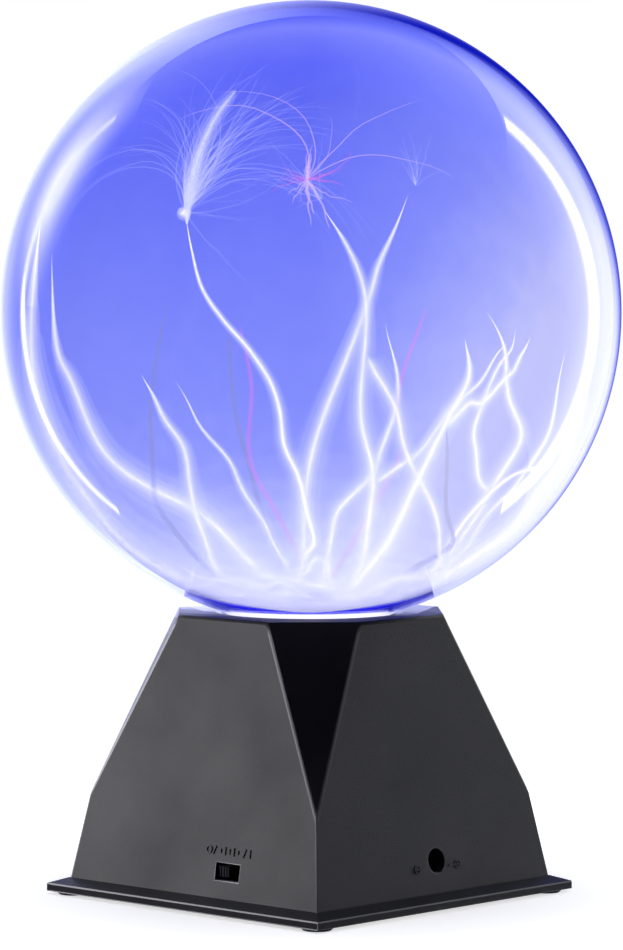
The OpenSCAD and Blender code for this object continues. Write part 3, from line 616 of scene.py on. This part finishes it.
def foot_band(radius, reach):
    """A thin skin on the glass round the neck, broad at its sides and narrow before and behind it.

    It lies on a sphere, from the neck out to reach; its breadth follows 0.1 + 0.9 |sin a|^1.5, where a is
    the azimuth from the front.
    """
    a = np.arange(BAND_SIDES) * TAU / BAND_SIDES
    breadth = 0.1 + 0.9 * np.abs(np.sin(a - VIEW_AZIMUTH + TAU / 4)) ** 1.5
    start, end = math.asin(NECK_TOP_R / radius), math.asin(reach / radius)
    polar = start + (end - start) * np.linspace(0, 1, BAND_ROWS)[:, None] * breadth
    r = radius * np.sin(polar)
    skin = np.stack([r * np.cos(a), r * np.sin(a), GLOBE_Z - radius * np.cos(polar)], -1)
    rings = np.concatenate([skin, skin[::-1] + [0, 0, 0.05 * MM]])
    faces = grid_faces(len(rings) + 1, BAND_SIDES) % (len(rings) * BAND_SIDES)
    return rings.reshape(-1, 3), faces


def make_electrode_glow():
    """Bright gas round the electrode, and a painted glow for the deep blue of the thick glass where ball and
    neck meet.
    """
    foot = CROWN_Z - 4 * MM
    for i, size in enumerate(np.linspace(0, 1, 9).tolist()):
        wide, high = (22 + 60 * size) * MM, (6 + 42 * size**1.6) * MM
        outline = arc((0, foot), wide, high, -60, 90, 32)
        glass_r = np.sqrt(np.maximum(0, (GAS_R - 1 * MM) ** 2 - (outline[:, 1] - GLOBE_Z) ** 2))
        outline[:, 0] = np.minimum(outline[:, 0], glass_r)
        profile = np.vstack([[[0, outline[0][1]]], outline[:-1], [[0, foot + high]]])
        strength, alpha = 3.2 - 1.1 * size, 0.17 - 0.145 * size**0.5
        look = glow(f"gas round the electrode {i + 1}", "#E4E6FF", strength, alpha)
        mesh_object(f"electrode_glow_{i + 1}", *revolve(profile, 64), look)
    # Radius and height in mm: up inside the neck, then out with its fillet to the ball
    plug = np.array(((0, 82), (26.4, 82), (26.4, 93.5), (27.6, 95), (30.2, 96.8), (0, 97.2))) * MM
    mesh_object("neck_glow", *revolve(plug, 96), glow("glow in the neck", "#EFECFF", 1.6, 0.93))
    # Painted light: glowing blue skins on the glass round the neck stand in for the deep blue of the thick
    # glass, broadest at its sides as seen from the camera
    for i, (reach, alpha) in enumerate(((36, 0.8), (39, 0.65), (42, 0.5), (45, 0.4), (49, 0.25))):
        band = foot_band(GAS_R + (0.1 + 0.1 * i) * MM, reach * MM)
        mesh_object(f"foot_tint_{i + 1}", *band, glow(f"thick blue glass {i + 1}", "#1612E6", 1.7, alpha))


# ---- Base ----

SLOPE = math.tan(math.radians(9.54))   # how far the housing's faces lean in with height
SLOT_X, SLOT_Z = 15 * MM, 13.9 * MM    # middle of the switch's slot
SLOT_REACH = (10 * MM, 3.2 * MM)       # half of a box that holds the slot's edges
INLET_Y, INLET_Z = 2 * MM, 15.7 * MM   # middle of the power inlet
INLET_REACH = 4.3 * MM
COLLAR_REACH = 36 * MM                 # the top's edges nearer the axis than this are the collar's
FACET_REACH = 78 * MM                  # a long edge whose |x| + |y| is over this bounds a corner facet
# Widths of the rounded edges: the top's rim, the long corners, the openings, and the tray
RIM_ROUND, CORNER_ROUND, OPENING_ROUND, TRAY_ROUND = 1.2 * MM, 0.5 * MM, 0.25 * MM, 0.35 * MM


def housing_abs(name, rough, dark, light, rim=None):
    """Black ABS from a spark-eroded tool: satin, with a fine even grain that catches the light.

    rim is the colour of the same material at the housing's top rim, where less light reaches it.
    """
    material, shader = surface(name, IOR=1.5, Specular_IOR_Level=0.12)
    grain = 0.45 * MM                # real grain is near 0.1 mm, drawn coarser so that it shows
    factor, stops = noise(material, 30 * MM, 3.0).outputs["Fac"], ((0.3, dark), (0.7, light))
    if rim:
        height = add(material, "ShaderNodeSeparateXYZ", {"Vector": place(material)}).outputs["Z"]
        reach = {"From_Min": TOP_Z - 4 * MM, "From_Max": TOP_Z - 1 * MM}
        factor = add(material, "ShaderNodeMapRange", {"Value": height}, **reach).outputs["Result"]
        stops = ((0.0, light), (1.0, rim))
    tinted(material, shader, factor, *stops)
    speck = noise(material, grain, 2.0).outputs["Fac"]
    connect(material, between(material, speck, *rough), shader.inputs["Roughness"])
    bump(material, shader, speck, 0.09 * MM, 0.8)
    return material


def merged_copy(node, name):
    """A copy of a CAD node with its doubles merged and its flat faces made whole."""
    source = frame["nodes"][node]
    mesh = source.data.copy()
    mesh.name = name
    edit = bmesh.new()
    edit.from_mesh(mesh)
    bmesh.ops.remove_doubles(edit, verts=edit.verts, dist=1e-6)
    bmesh.ops.dissolve_limit(edit, angle_limit=math.radians(0.5), verts=edit.verts, edges=edit.edges)
    return mesh, edit


def bevelled(node, name, materials, width_of, segments=4):
    """A copy of a CAD node whose chosen sharp edges are rounded; width_of gives each edge's width or 0."""
    mesh, edit = merged_copy(node, name)
    layer = edit.edges.layers.float.new("bevel_weight_edge")
    sharp = [e for e in edit.edges if len(e.link_faces) == 2 and e.calc_face_angle(0) > math.radians(8)]
    widths = [width_of(e) for e in sharp]
    largest = max(widths)
    for edge, width in zip(sharp, widths):
        edge[layer] = width / largest
    edit.to_mesh(mesh)
    edit.free()
    mesh.materials.clear()
    for material in materials:
        mesh.materials.append(material)
    mesh.polygons.foreach_set("material_index", np.zeros(len(mesh.polygons), np.int32))
    mesh.polygons.foreach_set("use_smooth", np.ones(len(mesh.polygons), bool))
    mesh.set_sharp_from_angle(angle=math.radians(30))
    piece = bpy.data.objects.new(name, mesh)
    bpy.context.scene.collection.objects.link(piece)
    bevel = piece.modifiers.new("rounded edges", "BEVEL")
    bevel.limit_method = "WEIGHT"
    bevel.width = largest
    bevel.segments = segments
    bevel.use_clamp_overlap = False
    bevel.material = len(materials) - 1
    flat = piece.modifiers.new("flat faces stay flat", "WEIGHTED_NORMAL")
    flat.keep_sharp = True
    flat.weight = 100
    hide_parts(node)
    return piece


def span(edge):
    """An edge's two ends and the vector between them."""
    a, b = edge.verts[0].co, edge.verts[1].co
    return a, b, b - a


def housing_width(edge):
    """Round the rim of the top, the long corner edges and, finely, the edges of the slot and the inlet."""
    a, b, along = span(edge)
    middle = (a + b) / 2
    reach = max(abs(middle.x), abs(middle.y))
    if min(a.z, b.z) > TOP_Z - 0.05 * MM and reach > COLLAR_REACH:
        return RIM_ROUND
    face_at = housing_high.x - SLOPE * (middle.z - housing_low.z)
    corner = abs(middle.x) + abs(middle.y) > FACET_REACH and along.length > 20 * MM
    outer = reach > face_at - 0.15 * MM or corner
    if outer and abs(along.z) > 0.8 * along.length and along.length > 12 * MM:
        return CORNER_ROUND
    off_slot = abs(middle.x - SLOT_X) / SLOT_REACH[0], abs(middle.z - SLOT_Z) / SLOT_REACH[1]
    near_slot = middle.y < 0 and max(off_slot) < 1
    near_inlet = middle.x > 0 and math.hypot(middle.y - INLET_Y, middle.z - INLET_Z) < INLET_REACH
    if abs(reach - face_at) < 0.2 * MM and (near_slot or near_inlet):
        return OPENING_ROUND
    return 0


def tray_width(edge):
    """Round the tray's long outer edges and its corners."""
    a, b, along = span(edge)
    reach = min(max(abs(a.x), abs(a.y)), max(abs(b.x), abs(b.y)))
    corner = abs(along.z) > 0.5 * along.length and reach > 50 * MM and min(abs(a.x), abs(a.y)) > 50 * MM
    outer = reach > 60 * MM and along.length > 50 * MM
    return TRAY_ROUND if outer or (corner and along.length > 1.5 * MM) else 0


def make_base():
    """The pyramid housing and the tray, with their moulded edges rounded."""
    plain = housing_abs("black ABS, spark-eroded grain", (0.45, 0.6), "#1B1B1C", "#212122")
    # Painted highlight: the rounded edges are tinted lighter than the flat faces, and painted shade darkens
    # them towards the housing's top rim
    edge_highlight_name = "black ABS, grain rubbed smooth on the edges"
    edge = housing_abs(edge_highlight_name, (0.5, 0.6), "#343436", "#3E3E40", "#101011")
    housing = bevelled("upper_housing", "housing_shell", [plain, edge], housing_width)
    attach(housing, BODY)
    # Painted shade: the tray's black ABS is tinted darker than the housing's, for the shade on its ledge
    tray_shaded_abs = housing_abs("black ABS of the tray", (0.45, 0.6), "#080809", "#0C0C0D")
    tray = bevelled("base_tray", "tray_shell", [tray_shaded_abs, edge], tray_width, 3)
    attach(tray, BODY)


# ---- Finishes of the other CAD nodes ----


def stem_glass():
    """Clear lead glass, blown and worked in a flame."""
    material, shader = surface("flame-worked clear glass", Roughness=0.02, IOR=1.52, Transmission_Weight=1.0)
    bump(material, shader, noise(material, 8 * MM).outputs["Fac"], 0.05 * MM)
    return material


def steel_wool():
    """Conductive wool: fine tangled strands, dark between and bright on top."""
    material, shader = surface("conductive steel wool", Metallic=1.0, Roughness=0.45)
    strands = {"Scale": 900.0, "Distortion": 24.0, "Detail": 3.0}
    tangle = add(material, "ShaderNodeTexWave", {"Vector": place(material)}, **strands).outputs["Fac"]
    tinted(material, shader, tangle, (0.2, "#2A2A2C"), (0.8, "#9A9A9E"))
    bump(material, shader, tangle, 0.3 * MM)
    return material


def circuit_mask():
    """Green solder mask over copper: tracks show as a slightly lighter, raised net."""
    material, shader = surface("green solder mask over copper", Roughness=0.3, Coat_Weight=0.3)
    tracks = add(material, "ShaderNodeTexBrick", {"Vector": place(material)}, Scale=300.0, offset=0.5)
    for name, colour in (("Color1", "#0B5A2C"), ("Color2", "#0D6632"), ("Mortar", "#1C8447")):
        tracks.inputs[name].default_value = linear(colour)
    tracks.inputs["Mortar Size"].default_value = 0.03
    connect(material, tracks.outputs["Color"], shader.inputs["Base Color"])
    bump(material, shader, tracks.outputs["Fac"], 0.035 * MM)
    return material


def enamelled_wire():
    """Enamelled copper: amber lacquer over copper, with the ridges of fine turns."""
    material, shader = surface("enamelled copper wire", Metallic=1.0, Roughness=0.25, Coat_Weight=0.8)
    turns = add(material, "ShaderNodeTexWave", {"Vector": place(material)}, Scale=500.0, Distortion=0.3)
    turns.bands_direction = "Z"
    tinted(material, shader, turns.outputs["Fac"], (0.1, "#5E2410"), (0.6, "#C46A32"))
    bump(material, shader, turns.outputs["Fac"], 0.05 * MM)
    return material


def sleeve():
    """Shrink sleeve on the capacitors: glossy dark blue, slightly rippled."""
    material, shader = surface("dark blue shrink sleeve", Roughness=0.22, Coat_Weight=0.4)
    ripple = noise(material, 3 * MM).outputs["Fac"]
    tinted(material, shader, ripple, (0.3, "#141C46"), (0.7, "#1B2558"))
    bump(material, shader, ripple, 0.08 * MM)
    return material


def resistor_lacquer():
    """Tan lacquer on the resistors, with plain colour bands along Y."""
    material, shader = surface("tan resistor lacquer", Roughness=0.35)
    bands = add(material, "ShaderNodeTexWave", {"Vector": place(material)}, Scale=160.0, wave_profile="SIN")
    bands.bands_direction = "Y"
    tan, brown = "#C9A874", "#6A3A1C"
    tinted(material, shader, bands.outputs["Fac"], (0.0, tan), (0.7, tan), (0.74, brown), (1.0, brown))
    bump(material, shader, noise(material, 1 * MM).outputs["Fac"], 0.03 * MM)
    return material


# Moulded, cast or pressed: name, darker and lighter tint, grain and its depth in mm, roughness from and to
MOULDED = {
    # Cast silicone: milky and soft, with a skin that shows a few flow marks
    "silicone_white": ("white silicone", "#D6D5CF", "#E6E5E0", 0.6, 0.05, (0.4, 0.55)),
    # The same, coloured red: the boot round the electrode's lead
    "silicone_red": ("red silicone", "#A31C16", "#BE2A20", 0.5, 0.03, (0.35, 0.45)),
    # Natural rubber with a fine matt skin
    "foot_rubber": ("black rubber", "#131313", "#1D1D1D", 0.3, 0.04, (0.75, 0.9)),
    # Paper laminate: brown, with faint fibres
    "phenolic": ("brown phenolic laminate", "#5A3418", "#6E4222", 0.3, 0.02, (0.4, 0.55)),
    # Acetal knob: black with a soft sheen
    "knob_plastic": ("black acetal", "#0A0A0B", "#101012", 0.15, 0.01, (0.3, 0.42)),
    # Satin black nylon, as in small connectors
    "jack_plastic": ("black glass-filled nylon", "#101011", "#1A1A1B", 0.2, 0.02, (0.35, 0.5)),
    # Sintered ferrite: near black, finely grained
    "ferrite": ("sintered ferrite", "#242426", "#303033", 0.25, 0.03, (0.5, 0.65)),
    # Natural nylon: warm cream
    "spool_nylon": ("natural nylon", "#D8CCAA", "#E6DCC0", 0.3, 0.02, (0.4, 0.55)),
    # Cast epoxy: black, glossy, with a slight sag
    "potting_resin": ("black potting resin", "#141416", "#1E1E20", 2, 0.06, (0.12, 0.25)),
    # Transfer-moulded epoxy: charcoal, matt
    "moulded_epoxy": ("moulded epoxy", "#1C1C1E", "#262628", 0.12, 0.02, (0.5, 0.65)),
    # Split mica: amber grey, layered
    "mica": ("split mica", "#A69C84", "#C2B99F", 0.8, 0.02, (0.2, 0.35)),
    # Dipped film capacitor: brick red lacquer
    "capacitor_film": ("red dipped lacquer", "#8E2418", "#A8301F", 1.5, 0.08, (0.2, 0.35)),
}
SOFT_INSIDE = {"silicone_white": 0.1, "spool_nylon": 0.08}  # how much light wanders under the skin
# Metals: name, darker and lighter tint, roughness, grain and its depth in mm, stretch of the marks
METALS = {
    # Tinned copper: soft bright grey, faintly mottled by the dip
    "tinned_copper": ("tinned copper", "#A9A9A6", "#CFCFCB", 0.3, 1, 0.01, (1, 1, 1)),
    # Black zinc plate: dark, a little oily
    "black_zinc": ("black zinc plate", "#1E1E21", "#3A3A3E", 0.38, 0.5, 0.01, (1, 1, 1)),
    # Bright zinc plate: cool silver, faintly cloudy
    "bright_zinc": ("bright zinc plate", "#A8ACB2", "#D2D5DA", 0.24, 0.8, 0.01, (1, 1, 1)),
    # Reflowed solder: bright, with a frosted grain
    "solder": ("tin solder", "#9EA0A4", "#C8CACC", 0.34, 0.2, 0.01, (1, 1, 1)),
    # Rolled sheet, chemically blackened, streaked along X
    "nickel_sheet": ("blackened steel sheet", "#1C1C1E", "#2C2C2F", 0.42, 0.4, 0.01, (0.08, 1, 1)),
    # Nickel plate, turned and polished
    "nickel_pin": ("polished nickel plate", "#B9B2A4", "#DAD5CA", 0.14, 0.3, 0.005, (1, 0.2, 0.2)),
    # Cold-rolled spring steel, streaked along Z
    "spring_steel": ("spring steel", "#7F8287", "#A9ACB1", 0.3, 0.4, 0.01, (1, 1, 0.08)),
    # Extruded aluminium, streaked along Z by the die
    "sink_aluminium": ("extruded aluminium", "#B0B3B8", "#D4D6DA", 0.32, 0.4, 0.015, (1, 1, 0.05)),
    # Drawn aluminium can
    "microphone_can": ("drawn aluminium can", "#B4B6BA", "#D0D2D6", 0.26, 0.3, 0.01, (0.2, 0.2, 1)),
}
SPECIAL = {
    "stem_glass": stem_glass,
    "steel_wool": steel_wool,
    "board_green": circuit_mask,
    "enamelled_wire": enamelled_wire,
    "capacitor_sleeve": sleeve,
    "resistor_lacquer": resistor_lacquer,
}


def finish(slot):
    """The material of a slot of the record, or None where new pieces have it already."""
    if slot in SPECIAL:
        return SPECIAL[slot]()
    if slot in METALS:
        name, dark, light, rough, grain, depth, stretch = METALS[slot]
        return metal(name, dark, light, rough, grain * MM, depth * MM, stretch)
    if slot in MOULDED:
        name, dark, light, grain, depth, rough = MOULDED[slot]
        under = {"Subsurface_Weight": SOFT_INSIDE[slot]} if slot in SOFT_INSIDE else {}
        return moulded(name, dark, light, grain * MM, depth * MM, rough, **under)
    return None


def finish_nodes():
    """Gives each CAD node that stays the material of its slot."""
    slots = {part["node"]: part["material_slot"] for part in frame["record"]["subparts"]}
    made = {}
    for node, thing in frame["nodes"].items():
        slot = slots[node]
        if slot not in made:
            made[slot] = finish(slot)
        if made[slot]:
            for place_in_mesh in thing.material_slots:
                place_in_mesh.material = made[slot]


# ---- Studio ----


def make_world():
    """A white room to the eye. Shiny things see a blue glow behind the object and white low on its right."""
    world = bpy.data.worlds.new("studio")
    world.use_nodes = True
    bpy.context.scene.world = world
    tree = world.node_tree
    seen = tree.nodes["Background"]
    seen.inputs["Color"].default_value = grey(1.0)
    way = add(world, "ShaderNodeTexCoord").outputs["Generated"]
    blue = (0.0, "#141A50"), (0.35, "#5A66E8"), (0.8, "#C4CAFF"), (0.89, "#7480F8"), (0.97, "#1420C4")
    white = (0.0, "#000000"), (1.0, "#FFFFFF")
    parts = []
    # Azimuth and rise of each glow's middle, the cosines from it between which its tints run, and those
    glows = ((223, 0.3, 0.2, 1.0, blue), (186, -0.35, 0.86, 0.99, white))
    for azimuth, rise, start, end, tints in glows:
        facing = add(world, "ShaderNodeVectorMath", {0: way}, operation="DOT_PRODUCT")
        facing.inputs[1].default_value = around(math.radians(azimuth), 1, rise).normalized()
        facing = facing.outputs["Value"]
        level = add(world, "ShaderNodeMapRange", {"Value": facing}, From_Min=start, From_Max=end)
        colour = ramp(world, level.outputs["Result"], *tints)
        parts.append(add(world, "ShaderNodeBackground", {"Color": colour.outputs["Color"]}))
    path = add(world, "ShaderNodeLightPath")
    dim = between(world, path.outputs["Is Diffuse Ray"], 1.0, 0.1)
    for part in parts:
        connect(world, dim, part.inputs["Strength"])
    lit = add(world, "ShaderNodeAddShader", {0: parts[0].outputs[0], 1: parts[1].outputs[0]}).outputs[0]
    to_eye = path.outputs["Is Camera Ray"]
    mix = add(world, "ShaderNodeMixShader", {0: to_eye, 1: lit, 2: seen.outputs[0]})
    connect(world, mix.outputs[0], tree.nodes["World Output"].inputs["Surface"])


MIDDLE = Vector((0, 0, 0.15))          # what every lamp and card points at


def aimed(azimuth, elevation, distance):
    """A place that far from the object's middle, and the turn that points its -Z there."""
    rise = math.radians(elevation)
    at = MIDDLE + around(math.radians(azimuth), distance * math.cos(rise), distance * math.sin(rise))
    return at, (MIDDLE - at).to_track_quat("-Z", "Y")


def softbox(name, azimuth, elevation, distance, wide, high, power):
    """A soft light aimed at the object, which shiny things do not show."""
    data = bpy.data.lights.new(name, "AREA")
    data.shape = "RECTANGLE"
    data.size = wide
    data.size_y = high
    data.energy = power
    light = bpy.data.objects.new(name, data)
    light.location, turn = aimed(azimuth, elevation, distance)
    light.rotation_euler = turn.to_euler()
    light.visible_camera = light.visible_transmission = light.visible_glossy = False
    bpy.context.scene.collection.objects.link(light)
    return light


def glow_card(name, azimuth, elevation, distance, wide, high, strength, tint):
    """A card that only shiny things see: bright in the middle, fading smoothly to nothing at its rim."""
    material = bpy.data.materials.new(name)
    material.use_nodes = True
    tree = material.node_tree
    tree.nodes.remove(tree.nodes["Principled BSDF"])
    flat = add(material, "ShaderNodeTexCoord").outputs["Generated"]
    from_middle = {"Location": (-1, -1, 0), "Scale": (2, 2, 0)}
    middle = add(material, "ShaderNodeMapping", {"Vector": flat}, **from_middle).outputs[0]
    round_fade = add(material, "ShaderNodeTexGradient", {"Vector": middle}, gradient_type="QUADRATIC_SPHERE")
    light = add(material, "ShaderNodeEmission", Strength=strength, Color=linear(tint))
    clear = add(material, "ShaderNodeBsdfTransparent")
    cover = between(material, round_fade.outputs["Fac"], 0.0, 1.5)
    mix = add(material, "ShaderNodeMixShader", {"Fac": cover})
    connect(material, clear.outputs[0], mix.inputs[1])
    connect(material, light.outputs[0], mix.inputs[2])
    connect(material, mix.outputs[0], tree.nodes["Material Output"].inputs["Surface"])
    centre, turn = aimed(azimuth, elevation, distance)
    half = np.array([[-1, -1, 0], [1, -1, 0], [1, 1, 0], [-1, 1, 0]]) * (wide / 2, high / 2, 0)
    corners = [list(centre + turn.to_matrix() @ Vector(corner)) for corner in half.tolist()]
    card = mesh_object(name, corners, [[0, 1, 2, 3]], material, body=None)
    card.visible_camera = card.visible_diffuse = card.visible_transmission = card.visible_shadow = False


# Azimuth and elevation in degrees, distance, width and height in metres, then strength and tint, or watts
CARDS = {
    "left strip": (-84, 0, 1.6, 0.3, 2.6, 5, "#FFFFFF"),
    "left card": (-82, 24, 1.6, 1.1, 1.3, 6, "#FFFFFF"),
    "left veil": (-118, 8, 1.8, 2.6, 2.6, 3.2, "#C4CAFF"),
    "right strip": (168, 0, 1.6, 0.5, 2.6, 14, "#FFFFFF"),
    "right veil": (172, 4, 1.8, 3.0, 2.6, 2.6, "#E4E8FF"),
}
OVERHEAD = (40, 88, 1.8, 1.4, 1.4, 30)
FILLS = {
    "switch face fill": (-54, 4, 1.5, 0.6, 0.4, 260),
    "inlet face fill": (138, 4, 1.5, 0.6, 0.4, 36),
}


def make_lights(floor):
    """Cards whose soft reflections band the glass, and softboxes that light only the base."""
    for name, card in CARDS.items():
        glow_card(name, *card)
    softbox("overhead", *OVERHEAD)
    fills = [softbox(name, *light) for name, light in FILLS.items()]
    unlit = bpy.data.collections.new("not lit by the fills")
    unlit.objects.link(floor)
    unlit.collection_objects[0].light_linking.link_state = "EXCLUDE"
    for light in fills:
        light.light_linking.receiver_collection = unlit


FADE_FROM, FADE_TO = 0.25, 0.7         # how far from the object the floor starts to fade, and is gone


def make_floor():
    """A pale round sheet on the table that fades into the white room at its rim.

    It is bright to the eye and dim to everything else, so that it doesn't light the base from below.
    """
    material, shader = surface("pale lit acrylic", Roughness=0.9, Specular_IOR_Level=0.1)
    shader.inputs["Emission Color"].default_value = grey(1.0)
    path = add(material, "ShaderNodeLightPath").outputs["Is Camera Ray"]
    connect(material, between(material, path, 0.05, 0.68), shader.inputs["Emission Strength"])
    connect(material, between(material, path, 0.1, 0.78), shader.inputs["Base Color"])
    far = add(material, "ShaderNodeVectorMath", {0: place(material)}, operation="LENGTH").outputs["Value"]
    fade = add(material, "ShaderNodeMapRange", {"Value": far}, From_Min=FADE_FROM, From_Max=FADE_TO)
    clear = add(material, "ShaderNodeBsdfTransparent")
    mix = add(material, "ShaderNodeMixShader", {"Fac": fade.outputs["Result"]})
    connect(material, shader.outputs["BSDF"], mix.inputs[1])
    connect(material, clear.outputs["BSDF"], mix.inputs[2])
    output = material.node_tree.nodes["Material Output"]
    connect(material, mix.outputs["Shader"], output.inputs["Surface"])
    corners = FADE_TO * np.array([[-1, -1, 0], [1, -1, 0], [1, 1, 0], [-1, 1, 0.0]])
    floor = mesh_object("floor", corners, [[0, 1, 2, 3]], material, body=None)
    floor.visible_glossy = floor.visible_transmission = False
    return floor


make_world()
make_lights(make_floor())
make_globe()
make_gas()
make_electrode_glow()
make_discharges()
make_base()
finish_nodes()

bpy.context.scene.view_settings.view_transform = "Standard"
bpy.context.scene.cycles.transparent_max_bounces = 96
